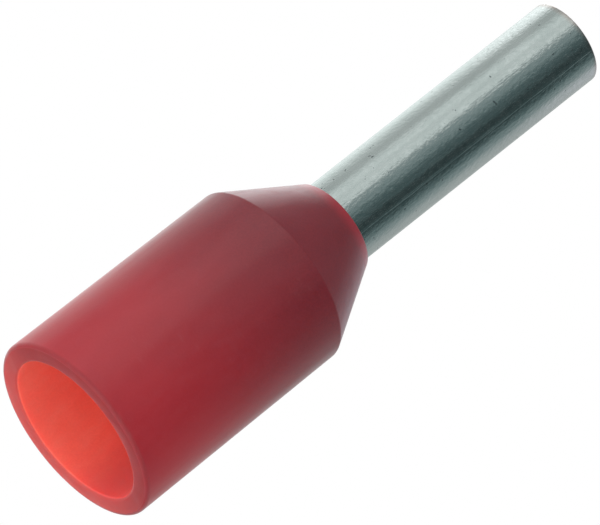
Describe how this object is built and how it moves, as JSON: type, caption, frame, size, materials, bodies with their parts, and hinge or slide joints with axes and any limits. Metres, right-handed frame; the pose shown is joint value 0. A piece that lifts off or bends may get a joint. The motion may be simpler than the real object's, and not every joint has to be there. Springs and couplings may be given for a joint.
{
  "type": "wire ferrule",
  "caption": "Insulated wire-end ferrule: a tinned metal barrel with a flared end, seated in a tapered red plastic sleeve with a wide round mouth.",
  "frame": {"origin": "centre of the sleeve's mouth, on the plane of its rim", "axes": "+Z along the ferrule's axis, from the mouth towards the tip of the barrel; X and Y are any two directions across it"},
  "size_m": [0.0038, 0.0038, 0.0127],
  "materials": {
    "red_plastic": "moulded, satin sheen, slightly translucent",
    "tinned_metal": "drawn copper tube with bright tin plating"
  },
  "bodies": {
    "root": {"insulating_sleeve": "red_plastic", "barrel": "tinned_metal"}
  },
  "joints": []
}
